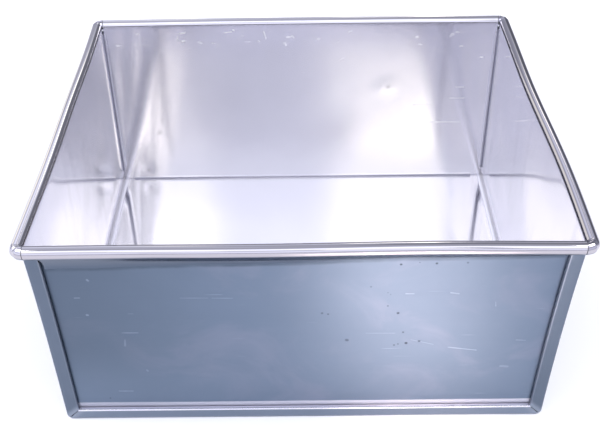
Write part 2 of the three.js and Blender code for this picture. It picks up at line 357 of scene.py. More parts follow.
def build_panel(name, side):
    s = Sheet()
    bx, bz = WALL_OUT - SHEET - HOOK_GAP - HALF - HOOK_R, SHEET + HOOK_GAP + HALF + HOOK_R
    ends = [134.4, 135.1, 135.45, 135.8, 136.15, 136.5, 136.9, 137.25]
    xs = np.concatenate([[-bx, -141.3, -139], -np.array(ends[::-1]), np.linspace(-132.6, 132.6, 77), ends, [139, 141.3, bx]])
    zs = np.concatenate([np.linspace(bz, 9, 4)[:-1], np.linspace(9, SEAM_TOP - 1.5, 36), [SEAM_TOP, (SEAM_TOP + RIM_Z) / 2, RIM_Z]])
    Y = side * PANEL_MID

    def flat(X, Z):
        s.grid(np.stack([X, np.full_like(X, Y), Z], 2), np.stack([X, Z], 2))

    flat(*np.meshgrid(xs, zs))
    # rolled top edge
    cols = np.concatenate([[-NOTCH_X], xs, [NOTCH_X]])
    P, UV = [], []
    for x in cols:
        prof = roll_profile(x, side)
        prof[0] = (PANEL_MID, RIM_Z)
        run = np.concatenate([[0], np.cumsum(np.linalg.norm(np.diff(prof, axis=0), axis=1))])
        P.append(np.stack([np.full(len(prof), x), side * prof[:, 0], prof[:, 1]], 1))
        UV.append(np.stack([np.full(len(prof), x), RIM_Z + run], 1))
    s.grid(P, UV, np.concatenate([[0.3], np.ones(len(CURL_ANGLES) - 1)])[None, :])
    # raw edges at the notches
    edge = WALL_OUT - SHEET - HOOK_GAP
    r, ccx, ccz = BEND_R - SHEET - HOOK_GAP, WALL_OUT - BEND_R, BEND_R
    for sx in (-1, 1):
        top = zs[zs >= SEAM_TOP - 1e-6]
        flat(np.stack([np.full(len(top), sx * bx), np.full(len(top), sx * NOTCH_X)], 1), np.stack([top, top], 1))
        mid = zs[(zs >= SEAM_TOP - 1.5 - 1e-6) & (zs <= SEAM_TOP + 1e-6)]
        flat(np.stack([np.full(len(mid), sx * bx), sx * np.where(mid >= SEAM_TOP - 1e-6, NOTCH_X, edge)], 1), np.stack([mid, mid], 1))
        low = zs[zs <= 9 + 1e-6]
        out = np.where(low >= ccz, edge, ccx + np.sqrt(np.maximum(0, r * r - np.minimum(0, low - ccz) ** 2)))
        flat(np.stack([np.full(len(low), sx * bx), sx * out], 1), np.stack([low, low], 1))
        foot = xs[(np.abs(xs) >= 136.9 - 1e-6) & (xs * sx > 0)]
        drop = np.where(np.abs(foot) <= ccx, SHEET + HOOK_GAP, ccz - np.sqrt(np.maximum(0, r * r - np.maximum(0, np.abs(foot) - ccx) ** 2)))
        flat(np.stack([foot, foot], 0), np.stack([np.full(len(foot), bz), drop], 0))
        a0, a1 = math.asin((bz - ccz) / r), -math.acos((bx - ccx) / r)
        corner = [(sx * bx, bz)] + [(sx * (ccx + r * math.cos(a)), ccz + r * math.sin(a)) for a in np.linspace(a0, a1, 5)]
        s.face([s.vert((px, Y, pz), 0) for px, pz in corner], corner)
    # hooks inside the folds, at both sides and along the bottom
    turn = np.radians(np.linspace(0, 90, 6))
    path = [(HOOK_R * math.sin(a), PANEL_MID + HOOK_R - HOOK_R * math.cos(a)) for a in turn]
    path += [(HOOK_R * math.cos(a), HOOK_MID - HOOK_R + HOOK_R * math.sin(a)) for a in turn]
    path += [(-d, HOOK_MID) for d in (1.5, 3.0, SEAM_W - SHEET - GAP - (SHEET + GAP + HALF + HOOK_R))]
    path = np.array(path)
    run = np.concatenate([[0], np.cumsum(np.linalg.norm(np.diff(path, axis=0), axis=1))])
    rows = zs[(zs >= 9 - 1e-6) & (zs <= SEAM_TOP - 1.5 + 1e-6)]
    for sx in (-1, 1):
        P = np.stack([np.stack([sx * (bx + path[:, 0]), side * path[:, 1], np.full(len(path), z)], 1) for z in rows])
        UV = np.stack([np.stack([sx * (bx + run), np.full(len(path), z)], 1) for z in rows])
        s.grid(P, UV, 0.7)
    inner = xs[np.abs(xs) <= 136.9 + 1e-6]
    P = np.stack([np.stack([np.full(len(path), x), side * path[:, 1], bz - path[:, 0]], 1) for x in inner])
    UV = np.stack([np.stack([np.full(len(path), x), bz - run], 1) for x in inner])
    s.grid(P, UV, 0.7)

    def outward(c):
        return Vector((0, side, 0)) if 8 < c.z < RIM_Z - 14 and abs(c.x) < 135 and abs(c.y) < PANEL_MID + 0.5 else Vector((0, 0, 0))

    return s.solid(name, outward)


# ------------------------------------------------------------------ rim wire
def build_wire():
    """One wire bent round the rim, its two ends butted at the middle of the back, in line with the uneven roll."""
    quarter = np.radians(np.linspace(0, 90, 13))
    line = [(x, RIM_Y, 0.0, 1.0) for x in np.linspace(0.25, CX, 34)[:-1]]
    for sx, sy, start in ((1, 1, 90), (1, -1, 0), (-1, -1, -90), (-1, 1, -180)):
        for a in math.radians(start) - quarter:
            line.append((sx * CX + RIM_CORNER * math.cos(a), sy * CY + RIM_CORNER * math.sin(a), math.cos(a), math.sin(a)))
        if (sx, sy) == (1, 1):
            line += [(RIM_X, y, 1.0, 0.0) for y in np.linspace(CY, -CY, 61)[1:-1]]
        elif (sx, sy) == (1, -1):
            line += [(x, -RIM_Y, 0.0, -1.0) for x in np.linspace(CX, -CX, 67)[1:-1]]
        elif (sx, sy) == (-1, -1):
            line += [(-RIM_X, y, -1.0, 0.0) for y in np.linspace(-CY, CY, 61)[1:-1]]
    line += [(x, RIM_Y, 0.0, 1.0) for x in np.linspace(-CX, -0.25, 34)[1:]]
    round_it = np.radians(np.linspace(0, 360, 25)[:-1])
    rings = [[(x + r * math.cos(a) * ox, y + r * math.cos(a) * oy, RIM_Z + r * math.sin(a)) for a in round_it]
             for x, y, ox, oy, r in [(*line[0], WIRE_R - 0.35)] + [(line[0][0] + 0.35, *line[0][1:], WIRE_R)]
             + [(*p, WIRE_R) for p in line[1:-1]] + [(line[-1][0] - 0.35, *line[-1][1:], WIRE_R), (*line[-1], WIRE_R - 0.35)]]
    count = len(round_it)
    faces = [(i * count + j, i * count + (j + 1) % count, (i + 1) * count + (j + 1) % count, (i + 1) * count + j)
             for i in range(len(rings) - 1) for j in range(count)]
    last = (len(rings) - 1) * count
    faces += [tuple(range(count))[::-1], tuple(range(last, last + count))]
    mesh = bpy.data.meshes.new("rim_wire_round")
    mesh.from_pydata([tuple(p) for p in shape([p for ring in rings for p in ring]) * MM], [], faces)
    bm = bmesh.new()
    bm.from_mesh(mesh)
    bmesh.ops.recalc_face_normals(bm, faces=bm.faces)
    bm.to_mesh(mesh)
    bm.free()
    mesh.polygons.foreach_set("use_smooth", np.ones(len(mesh.polygons), bool))
    mesh.set_sharp_from_angle(angle=math.radians(40))
    piece = bpy.data.objects.new("rim_wire_round", mesh)
    scene.collection.objects.link(piece)
    return piece


# ------------------------------------------------------------------ materials
class Nodes:
    """Short calls for building a node material."""

    def __init__(self, tree):
        self.tree = tree
        tree.nodes.clear()

    def add(self, kind, **settings):
        node = self.tree.nodes.new(kind)
        for key, value in settings.items():
            setattr(node, key, value)
        return node

    def link(self, a, b):
        self.tree.links.new(a, b)

    def put(self, socket, value):
        if isinstance(value, bpy.types.NodeSocket):
            self.link(value, socket)
        else:
            socket.default_value = value

    def math(self, op, a, b=0.0, c=0.0, clamp=False):
        n = self.add("ShaderNodeMath", operation=op, use_clamp=clamp)
        self.put(n.inputs[0], a)
        self.put(n.inputs[1], b)
        self.put(n.inputs[2], c)
        return n.outputs[0]

    def vmath(self, op, a, b=(0, 0, 0)):
        n = self.add("ShaderNodeVectorMath", operation=op)
        self.put(n.inputs[0], a)
        self.put(n.inputs[1], b)
        return n.outputs["Value"] if op in ("LENGTH", "DOT_PRODUCT", "DISTANCE") else n.outputs["Vector"]

    def ramp(self, value, low, high, to_low=0.0, to_high=1.0):
        n = self.add("ShaderNodeMapRange", interpolation_type="SMOOTHSTEP")
        self.put(n.inputs["Value"], value)
        n.inputs["From Min"].default_value, n.inputs["From Max"].default_value = low, high
        n.inputs["To Min"].default_value, n.inputs["To Max"].default_value = to_low, to_high
        return n.outputs["Result"]

    def swing(self, value, middle, amount):
        """A noise value turned into a swing about zero."""
        return self.math("MULTIPLY", self.math("SUBTRACT", value, middle), amount)

    def total(self, *values):
        out = values[0]
        for v in values[1:]:
            out = self.math("ADD", out, v)
        return out

    def noise(self, vector, scale, detail=2.0, rough=0.5, distortion=0.0):
        n = self.add("ShaderNodeTexNoise")
        self.put(n.inputs["Vector"], vector)
        n.inputs["Scale"].default_value = scale
        n.inputs["Detail"].default_value = detail
        n.inputs["Roughness"].default_value = rough
        n.inputs["Distortion"].default_value = distortion
        return n.outputs["Fac"]

    def mapped(self, vector, scale, offset=(0, 0, 0), turn=0.0):
        n = self.add("ShaderNodeMapping")
        self.put(n.inputs["Vector"], vector)
        n.inputs["Scale"].default_value = scale
        n.inputs["Location"].default_value = offset
        n.inputs["Rotation"].default_value = (0, 0, turn)
        return n.outputs["Vector"]

    def mix(self, factor, a, b):
        n = self.add("ShaderNodeMix", data_type="RGBA")
        self.put(n.inputs[0], factor)
        self.put(n.inputs[6], a)
        self.put(n.inputs[7], b)
        return n.outputs[2]


def new_material(name):
    material = bpy.data.materials.new(name)
    material.use_nodes = True
    return material, Nodes(material.node_tree)


# the outside tones are painted shade: the pan's outside is the same metal as its inside, darkened and blued to stand in
# for the darker surroundings it reflects
OUT_LIGHT, OUT_DARK = (0.178, 0.226, 0.303), (0.142, 0.185, 0.251)
# the pale tone below is painted on folds and along a panel's bottom seam as a highlight
PAINTED_HIGHLIGHT = (0.74, 0.73, 0.79)
IN_LIGHT, IN_DARK = (0.86, 0.855, 0.885), (0.80, 0.795, 0.825)
# the roll's foot and lip tones here are painted shade on the underside of a roll and on a panel's lip
ROLL_TONE, ROLL_UNDER_SHADE, LIP_SHADE = (0.56, 0.545, 0.575), (0.44, 0.42, 0.45), (0.09, 0.114, 0.156)
# the first tone here is painted shade for the right side rim, the second a painted highlight for the back rim
ROLL_RIGHT_SHADE, ROLL_BACK_HIGHLIGHT = (0.34, 0.33, 0.37), (0.70, 0.685, 0.715)
RESIDUE, BROWNED = (0.74, 0.74, 0.83), (0.52, 0.52, 0.60)


def sheet_metal(name, light, dark, rough, aniso, seed, scratch=1.0, grain=1.0, marks=(), specks=(), dull_floor=False, roll=None, foot_highlight=None, hem_shade_side=0, fold_highlight=0.3, vary=1.0, turn=0.25, tooled=None, wiped=None, haze=0.0, shade_left_end=False, shade_walls=False, residue=RESIDUE):
    """Rolled sheet: fine lines along the rolling direction (the sheet map's U), matt smudges,
    scratches, dark specks, and folds burnished smoother that also carry a painted highlight
    (fold_highlight: its strength). On a floor there is a matt film from use. A rolled edge
    (roll: sheet axis, start, tone) is greyer, with painted shade on the right rim, and painted
    shade on its underside and lip, as dark as the pan's outside. The foot of a panel can carry a
    painted reflection, a bright band along its bottom seam (foot_highlight: height), painted shade
    lies under a hem (hem_shade_side: the panel's side), and the tool that rolled the rim leaves a
    row of scuffs below it (tooled: heights). Inside, residue fills the seams, darker at the back, and wiping leaves
    streaks (wiped: pitch along U and V). Handling leaves a mauve haze (haze: strength), painted shade darkens the left
    end of a panel, most of all higher up (shade_left_end), and painted shade darkens the outside side walls and their
    strips against the foot (shade_walls)."""
    material, n = new_material(name)
    uv = n.add("ShaderNodeUVMap", uv_map="sheet").outputs["UV"]
    at = n.mapped(uv, (1, 1, 1), (seed, seed * 0.7, seed * 0.3))
    lines = n.noise(n.mapped(at, (10, 1400, 1)), 1.0, 3.0, 0.65)
    broad = n.noise(n.mapped(at, (4, 120, 1)), 1.0, 3.0, 0.55)
    cloud = n.noise(at, 18.0, 4.0, 0.55, 0.4)
    blot = n.noise(at, 95.0, 5.0, 0.6, 0.6)
    # fine random scratches, thin and broken, mostly along the rolling direction
    a = n.ramp(n.noise(n.mapped(at, (30, 1000, 1), (3, 1, 0), 0.03), 1.0, 1.0, 0.4), 0.775, 0.82)
    b = n.ramp(n.noise(n.mapped(at, (24, 760, 1), (7, 5, 0), -0.6), 1.0, 1.0, 0.4), 0.80, 0.84)
    c = n.ramp(n.noise(n.mapped(at, (28, 860, 1), (1, 9, 0), 1.2), 1.0, 1.0, 0.4), 0.805, 0.845)
    where = n.ramp(n.noise(at, 26.0, 2.0, 0.5), 0.45, 0.66, 0.0, scratch)
    scratches = n.math("MULTIPLY", n.math("MAXIMUM", a, n.math("MAXIMUM", b, c)), where, clamp=True)
    for x0, y0, x1, y1, width, strength in marks:
        p, q = Vector((x0, y0, 0)) * MM, Vector((x1, y1, 0)) * MM
        way = q - p
        from_p = n.vmath("SUBTRACT", uv, tuple(p))
        share = n.math("DIVIDE", n.vmath("DOT_PRODUCT", from_p, tuple(way)), max(way.length_squared, 1e-12), clamp=True)
        near = n.add("ShaderNodeVectorMath", operation="SCALE")
        near.inputs[0].default_value = tuple(way)
        n.put(near.inputs["Scale"], share)
        d = n.vmath("DISTANCE", from_p, near.outputs["Vector"])
        ragged = n.math("ADD", d, n.swing(blot, 0.5, width * 1.8 * MM))
        scratches = n.math("MAXIMUM", scratches, n.ramp(ragged, width * 0.1 * MM, width * MM, strength, 0.0))
    split = n.add("ShaderNodeSeparateXYZ")
    n.link(uv, split.inputs[0])
    if tooled:
        scuffs = n.ramp(n.noise(n.mapped(at, (110, 260, 1), (2, 4, 0), 0.25), 1.0, 2.0, 0.55), 0.60, 0.72, 0.0, 0.65)
        row = n.math("MULTIPLY", n.ramp(split.outputs["Y"], tooled[0] * MM, (tooled[0] + 6) * MM), n.ramp(split.outputs["Y"], (tooled[1] - 2) * MM, tooled[1] * MM, 1.0, 0.0))
        scratches = n.math("MAXIMUM", scratches, n.math("MULTIPLY", scuffs, row))
    dirt = n.add("ShaderNodeTexVoronoi")
    n.put(dirt.inputs["Vector"], at)
    dirt.inputs["Scale"].default_value = 70.0
    parts = n.add("ShaderNodeSeparateColor")
    n.link(dirt.outputs["Color"], parts.inputs["Color"])
    chosen = n.math("GREATER_THAN", parts.outputs["Red"], 0.965)
    spot = n.math("MULTIPLY", n.ramp(dirt.outputs["Distance"], 0.03, 0.10, 0.55, 0.0), chosen)
    for x0, y0, radius, strength in specks:
        d = n.vmath("DISTANCE", uv, (x0 * MM, y0 * MM, 0))
        ragged = n.math("ADD", d, n.swing(blot, 0.5, radius * 1.6 * MM))
        spot = n.math("MAXIMUM", spot, n.ramp(ragged, radius * 0.3 * MM, radius * MM, strength, 0.0))
    burnish_and_sheen = n.add("ShaderNodeAttribute", attribute_name="burnish_and_sheen").outputs["Fac"]

    tone = n.total(n.swing(lines, 0.5, 0.16 * grain), n.swing(broad, 0.5, 0.2 * grain), n.swing(cloud, 0.5, 0.9), n.swing(blot, 0.5, 0.18))
    tone = n.math("ADD", tone, 0.5, clamp=True)
    bright = tuple(min(0.97, v * 1.25 + 0.15) for v in light)
    base = n.mix(tone, (*dark, 1), (*light, 1))
    if wiped:
        base = n.mix(n.ramp(n.noise(n.mapped(at, (*wiped, 1)), 1.0, 3.0, 0.6, 0.5), 0.50, 0.78, 0.0, 0.4), base, tuple(v * 0.80 for v in dark) + (1,))
    if haze:
        base = n.mix(n.ramp(n.noise(n.mapped(at, (1, 1.3, 1), (4, 8, 0), 0.5), 15.0, 4.0, 0.6, 0.8), 0.47, 0.72, 0.0, haze), base, (light[0] * 1.2, light[1] * 1.08, light[2] * 1.06, 1))
    # painted shade: the left end of a panel darker, most of all higher up
    if shade_left_end:
        end = n.ramp(n.math("ADD", split.outputs["X"], n.swing(cloud, 0.5, 0.03)), -0.135, -0.02, 0.75, 0.0)
        base = n.mix(n.math("MULTIPLY", end, n.ramp(split.outputs["Y"], 0.01, 0.065, 0.1, 1.0)), base, tuple(v * 0.68 for v in dark) + (1,))
    # painted shade: the outside side walls and their strips darker than the foot
    if shade_walls:
        walls_shade = n.mix(tone, tuple(v * f for v, f in zip(dark, (0.42, 0.45, 0.49))) + (1,), tuple(v * f for v, f in zip(light, (0.55, 0.575, 0.61))) + (1,))
        base = n.mix(n.ramp(n.math("ABSOLUTE", split.outputs["X"]), FLOOR_HALF * MM, (FLOOR_HALF + 7) * MM, 0.0, 0.8), base, walls_shade)
    if roll:
        along = n.math("ADD", n.math("ABSOLUTE", split.outputs[roll[0]]), n.swing(cloud, 0.5, 0.0012))
        grey = (*roll[2], 1)
        # painted shade: the right side rim is darker than the left
        if roll[0] == "X":
            grey = n.mix(n.ramp(split.outputs["X"], -0.02, 0.02), grey, (*ROLL_RIGHT_SHADE, 1))
        base = n.mix(n.ramp(along, (roll[1] - 0.6) * MM, (roll[1] + 1.2) * MM, 0.0, 0.9), base, grey)
        # painted shade: the roll's underside and then its lip darkened to the outside's tone
        base = n.mix(n.ramp(along, (roll[1] + 8.6) * MM, (roll[1] + 9.8) * MM), base, (*ROLL_UNDER_SHADE, 1))
        base = n.mix(n.ramp(along, (roll[1] + 10.8) * MM, (roll[1] + 12.6) * MM), base, (*LIP_SHADE, 1))
    else:
        # painted highlight: folds and bends lightened towards a pale tone, standing in for the light they catch
        base = n.mix(n.math("MULTIPLY", n.math("POWER", burnish_and_sheen, 2.0), fold_highlight), base, (*PAINTED_HIGHLIGHT, 1))
    # painted reflection: a bright band on the panel just above its bottom seam, standing in for the bright fold it
    # mirrors
    if foot_highlight:
        line = n.ramp(n.math("ADD", split.outputs["Y"], n.swing(cloud, 0.5, 0.0016)), (foot_highlight - 0.8) * MM, foot_highlight * MM, 1.0, 0.0)
        base = n.mix(n.math("MULTIPLY", line, n.ramp(broad, 0.3, 0.6, 0.5, 0.75)), base, (*PAINTED_HIGHLIGHT, 1))
    seam = None
    if dull_floor:
        # grime along the seams, mostly at the back and deeper on the walls, and residue in the seams
        upright = n.ramp(n.math("ABSOLUTE", split.outputs["X"]), FLOOR_HALF * MM, (FLOOR_HALF + 6) * MM)
        end = n.math("ADD", n.math("ABSOLUTE", split.outputs["Y"]), n.swing(blot, 0.5, 0.0012))
        soot = n.math("MULTIPLY", n.ramp(end, 0.1195, 0.1245), upright)
        soot = n.math("MAXIMUM", soot, n.ramp(end, 0.1232, 0.1246))
        soot = n.math("MULTIPLY", soot, n.ramp(split.outputs["Y"], -0.02, 0.02, 0.05, 0.45))
        base = n.mix(soot, base, (0.48, 0.48, 0.56, 1))
        below_rim = n.ramp(n.math("ABSOLUTE", split.outputs["X"]), (FLOOR_HALF + WALL_HALF) * MM, (FLOOR_HALF + WALL_HALF + 1.5) * MM, 1.0, 0.0)
        seam = n.math("MULTIPLY", n.ramp(end, 0.1249, 0.1256), below_rim)
        from_bend = n.math("ABSOLUTE", n.math("SUBTRACT", n.math("ABSOLUTE", split.outputs["X"]), FLOOR_HALF * MM))
        in_bend = n.ramp(n.math("ADD", from_bend, n.swing(blot, 0.5, 0.002)), 0.0012, 0.0048, 0.5, 0.0)
        base = n.mix(in_bend, base, n.mix(n.ramp(split.outputs["X"], -0.02, 0.02), (0.48, 0.48, 0.56, 1), (*RESIDUE, 1)))
        base = n.mix(seam, base, n.mix(n.ramp(split.outputs["Y"], -0.02, 0.02), (*RESIDUE, 1), (*BROWNED, 1)))
        seam = n.math("MAXIMUM", seam, in_bend)
    elif roll:
        seam = n.math("MULTIPLY", n.ramp(burnish_and_sheen, 0.48, 0.64), n.ramp(burnish_and_sheen, 0.74, 0.84, 1.0, 0.0))
        base = n.mix(seam, base, (*residue, 1))
    base = n.mix(n.math("MULTIPLY", scratches, 0.85), base, (*bright, 1))
    # painted shade: a dark band on the panel just below the hem's lower edge
    if hem_shade_side:
        waves = [n.math("MULTIPLY", n.math("SINE", n.math("MULTIPLY_ADD", split.outputs["X"], k / MM, p * hem_shade_side)), a * MM) for a, k, p in HEM_WAVES]
        edge = n.total(n.math("MULTIPLY", split.outputs["X"], -hem_shade_side * HEM_TILT), *waves)
        above = n.math("SUBTRACT", split.outputs["Y"], edge)
        above = n.math("ADD", above, n.swing(blot, 0.5, 0.0010))
        hem_shade = n.math("MULTIPLY", n.ramp(above, (HEM_Z - 5.4) * MM, (HEM_Z - 3.4) * MM), n.ramp(n.math("ABSOLUTE", split.outputs["X"]), 0.135, 0.138, 1.0, 0.0))
        base = n.mix(n.math("MULTIPLY", hem_shade, n.ramp(cloud, 0.35, 0.65, 0.25, 0.7)), base, tuple(v * 0.5 for v in dark) + (1,))
    base = n.mix(spot, base, tuple(v * 0.2 for v in light) + (1,))

    r = n.total(n.swing(cloud, 0.45, 0.16 * vary), n.swing(blot, 0.5, 0.06 * vary), n.swing(lines, 0.5, 0.08 * grain * vary), n.math("MULTIPLY", scratches, 0.22), n.math("MULTIPLY", spot, 0.3))
    r = n.math("ADD", r, rough)
    r = n.math("SUBTRACT", r, n.math("MULTIPLY", burnish_and_sheen, 0.4 * rough), clamp=True)
    shader = n.add("ShaderNodeBsdfPrincipled")
    if dull_floor:
        across = n.math("ABSOLUTE", split.outputs["X"])
        film = n.ramp(n.math("ADD", across, n.swing(cloud, 0.5, 0.004)), 0.120, 0.142, 1.0, 0.0)
        film = n.math("MULTIPLY", film, n.ramp(blot, 0.25, 0.6, 0.93, 1.0))
        film = n.math("MULTIPLY", film, n.math("SUBTRACT", 1.0, seam))
        base = n.mix(film, base, (0.86, 0.855, 0.88, 1))
        r = n.math("ADD", n.math("ADD", r, n.math("MULTIPLY", film, 0.02)), n.math("MULTIPLY", seam, 0.3))
        n.link(n.math("SUBTRACT", 1.0, n.math("ADD", n.math("MULTIPLY", film, 0.12), n.math("MULTIPLY", seam, 0.9))), shader.inputs["Metallic"])
    elif seam:
        r = n.math("ADD", r, n.math("MULTIPLY", seam, 0.3))
        n.link(n.math("SUBTRACT", 1.0, n.math("MULTIPLY", n.math("MAXIMUM", seam, n.math("MULTIPLY", scratches, 0.6)), 0.9)), shader.inputs["Metallic"])
    else:
        shader.inputs["Metallic"].default_value = 1.0

    height = n.total(n.math("MULTIPLY", lines, 0.25 * grain), n.math("MULTIPLY", broad, 0.35 * grain), n.math("MULTIPLY", scratches, -0.5), n.math("MULTIPLY", spot, -0.5))
    bump = n.add("ShaderNodeBump")
    bump.inputs["Strength"].default_value = 0.2
    bump.inputs["Distance"].default_value = 0.00002
    n.put(bump.inputs["Height"], height)
    n.link(base, shader.inputs["Base Color"])
    n.link(r, shader.inputs["Roughness"])
    n.link(bump.outputs["Normal"], shader.inputs["Normal"])
    shader.inputs["Anisotropic"].default_value = aniso
    shader.inputs["Anisotropic Rotation"].default_value = turn
    tangent = n.add("ShaderNodeTangent", direction_type="UV_MAP", uv_map="sheet")
    n.link(tangent.outputs["Tangent"], shader.inputs["Tangent"])
    out = n.add("ShaderNodeOutputMaterial")
    n.link(shader.outputs["BSDF"], out.inputs["Surface"])
    return material


def wire_metal():
    material, n = new_material("wire_steel")
    at = n.add("ShaderNodeTexCoord").outputs["Object"]
    fine = n.noise(at, 900.0, 4.0, 0.6)
    patch = n.noise(at, 60.0, 4.0, 0.6)
    bump = n.add("ShaderNodeBump")
    bump.inputs["Strength"].default_value = 0.3
    bump.inputs["Distance"].default_value = 0.00003
    n.put(bump.inputs["Height"], fine)
    shader = n.add("ShaderNodeBsdfPrincipled")
    n.link(n.mix(n.ramp(patch, 0.35, 0.7), (0.30, 0.29, 0.28, 1), (0.46, 0.46, 0.47, 1)), shader.inputs["Base Color"])
    n.link(n.ramp(fine, 0.3, 0.7, 0.34, 0.5), shader.inputs["Roughness"])
    n.link(bump.outputs["Normal"], shader.inputs["Normal"])
    shader.inputs["Metallic"].default_value = 1.0
    out = n.add("ShaderNodeOutputMaterial")
    n.link(shader.outputs["BSDF"], out.inputs["Surface"])
    return material


# scratches (x0, z0, x1, z1, half width, strength) and specks (x, z, radius, strength) on the flat sheet
FRONT_MARKS = [
    (-125.1, 99.9, -122.4, 99.9, 0.5, 0.5), (-120.6, 86.6, -120.1, 86.5, 0.9, 0.5), (-102.9, 71.9, -93.8, 71.8, 0.4, 0.5),
    (-111.4, 21.9, -102.9, 21.8, 0.45, 0.6), (-67.3, 99.1, -52.0, 98.9, 0.4, 0.4), (-49.7, 98.8, -38.5, 98.6, 0.4, 0.55),
    (57.0, 100.4, 61.4, 100.3, 0.5, 0.95), (81.7, 100.8, 86.1, 100.0, 0.5, 0.7), (106.6, 93.5, 107.0, 90.4, 0.5, 0.6),
    (83.8, 57.6, 100.2, 54.9, 0.45, 0.9), (62.0, 64.0, 75.0, 60.0, 0.4, 0.45), (36.0, 69.9, 52.5, 69.7, 0.4, 0.4),
    (-116.0, 113.4, -115.6, 112.8, 0.8, 0.5), (-102.0, 66.2, -102.6, 61.2, 0.7, 0.3), (-92.3, 40.4, -91.8, 39.6, 1.0, 0.35),
    (-97.6, 87.1, -94.8, 87.1, 0.5, 0.3), (122.0, 63.0, 127.0, 62.6, 0.7, 0.4), (116.0, 41.0, 120.0, 40.5, 0.9, 0.35),
]
FRONT_SPECKS = [
    (10.9, 86.3, 0.9, 0.45), (14.3, 85.5, 0.8, 0.45), (25.3, 64.3, 1.2, 0.5), (37.6, 105.9, 0.8, 0.5), (47.1, 101.3, 0.8, 0.5),
    (48.6, 100.0, 0.7, 0.4), (47.5, 91.3, 0.8, 0.55), (53.4, 85.7, 1.0, 0.7), (52.5, 59.8, 0.8, 0.6), (54.7, 60.6, 0.7, 0.5),
    (59.3, 61.3, 1.1, 0.75), (66.7, 62.9, 1.2, 0.7), (57.1, 70.4, 0.9, 0.6), (-117.7, 15.5, 0.9, 0.55), (53.1, 121.9, 0.9, 0.7),
    (72.3, 122.4, 0.9, 0.65), (63.1, 123.2, 0.7, 0.5), (88.8, 122.8, 0.8, 0.4),
]
BACK_MARKS = [
    (-90.1, 129.7, -84.9, 130.4, 0.6, 0.8), (-90.4, 127.3, -91.3, 124.9, 0.7, 0.75), (-71.1, 128.6, -68.1, 129.4, 0.6, 0.6),
    (-56.3, 130.0, -50.4, 130.8, 0.6, 0.7), (-49.5, 132.4, -48.8, 131.6, 0.7, 0.8), (-41.9, 122.6, -37.5, 122.5, 0.5, 0.5),
    (-26.9, 130.5, -25.6, 124.8, 0.7, 0.65), (-6.4, 127.0, -4.9, 125.3, 0.7, 0.6), (118.1, 117.2, 120.3, 117.1, 0.6, 0.9),
    (133.9, 107.9, 136.1, 107.9, 0.6, 0.8), (118.2, 82.6, 124.3, 82.5, 0.5, 0.8), (114.4, 73.0, 125.2, 72.9, 0.5, 0.7),
    (86.3, 67.2, 100.9, 67.9, 0.5, 0.8), (95.8, 51.7, 124.0, 51.4, 0.5, 0.8), (29.2, 106.8, 32.2, 108.4, 0.5, 0.5),
    (6.9, 123.5, 9.8, 120.3, 0.7, 0.4), (-124.2, 122.0, -112.0, 120.6, 1.2, 0.3), (-118.4, 126.8, -107.7, 123.4, 1.0, 0.25),
]
BACK_SPECKS = [(-109.3, 56.3, 1.9, 0.35), (-112.1, 44.4, 3.0, 0.16), (-110.7, 80.4, 2.2, 0.1), (66.2, 83.3, 2.4, 0.3), (-124.6, 9.5, 1.8, 0.35)]

SIDE_ROLL = ("X", RIM_Z - SEAM_TOP + FLOOR_HALF + WALL_HALF, ROLL_TONE)
# the back rim's lighter tone is a painted highlight
FRONT_ROLL, BACK_ROLL = ("Y", RIM_Z, ROLL_TONE), ("Y", RIM_Z, ROLL_BACK_HIGHLIGHT)
bright_side = dict(scratch=0.25, grain=0.4, vary=0.22)
# the trough's outside tones are painted shade as well, darkened and blued for the surroundings they reflect
outer_trough = sheet_metal("trough_outside", (0.215, 0.255, 0.32), (0.172, 0.21, 0.268), 0.38, 0.5, 1.3, fold_highlight=0.9, shade_walls=True)
inner_walls = sheet_metal("trough_wall_inside", IN_LIGHT, IN_DARK, 0.10, 0.5, 4.1, dull_floor=True, roll=SIDE_ROLL, turn=0.0, wiped=(9, 75), **bright_side)
inner_floor = sheet_metal("trough_floor_inside", IN_LIGHT, IN_DARK, 0.085, 0.8, 4.1, dull_floor=True, **bright_side)
outer_front = sheet_metal("front_outside", OUT_LIGHT, OUT_DARK, 0.42, 0.75, 2.2, marks=FRONT_MARKS, specks=FRONT_SPECKS, foot_highlight=11.8, hem_shade_side=-1, haze=0.7, shade_left_end=True)
inner_front = sheet_metal("front_inside", IN_LIGHT, IN_DARK, 0.11, 0.85, 6.7, roll=FRONT_ROLL, tooled=(113, 132), **bright_side)
outer_back = sheet_metal("back_outside", OUT_LIGHT, OUT_DARK, 0.42, 0.75, 8.8, foot_highlight=11.8, hem_shade_side=1, haze=0.5)
inner_back = sheet_metal("back_inside", IN_LIGHT, IN_DARK, 0.128, 0.8, 3.6, marks=BACK_MARKS, specks=BACK_SPECKS, roll=BACK_ROLL, tooled=(113, 132), residue=BROWNED, **bright_side)
edge_metal = sheet_metal("cut_edge", (0.30, 0.33, 0.39), (0.22, 0.25, 0.31), 0.35, 0.0, 5.5)

# ------------------------------------------------------------------ pieces
for piece, node, slot_name, mats in (
    (build_trough(), "trough", "trough_sheet", (outer_trough, inner_walls, edge_metal, inner_floor)),
    (build_panel("front_sheet", -1), "front_panel", "panel_sheet", (outer_front, inner_front, edge_metal)),
    (build_panel("back_sheet", 1), "back_panel", "panel_sheet", (outer_back, inner_back, edge_metal)),
):
    for i, m in enumerate(mats):
        piece.data.materials[i] = m
    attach(piece, "root")
    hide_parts(node)
wire = build_wire()
wire.data.materials.append(wire_metal())
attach(wire, "root")
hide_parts("rim_wire")

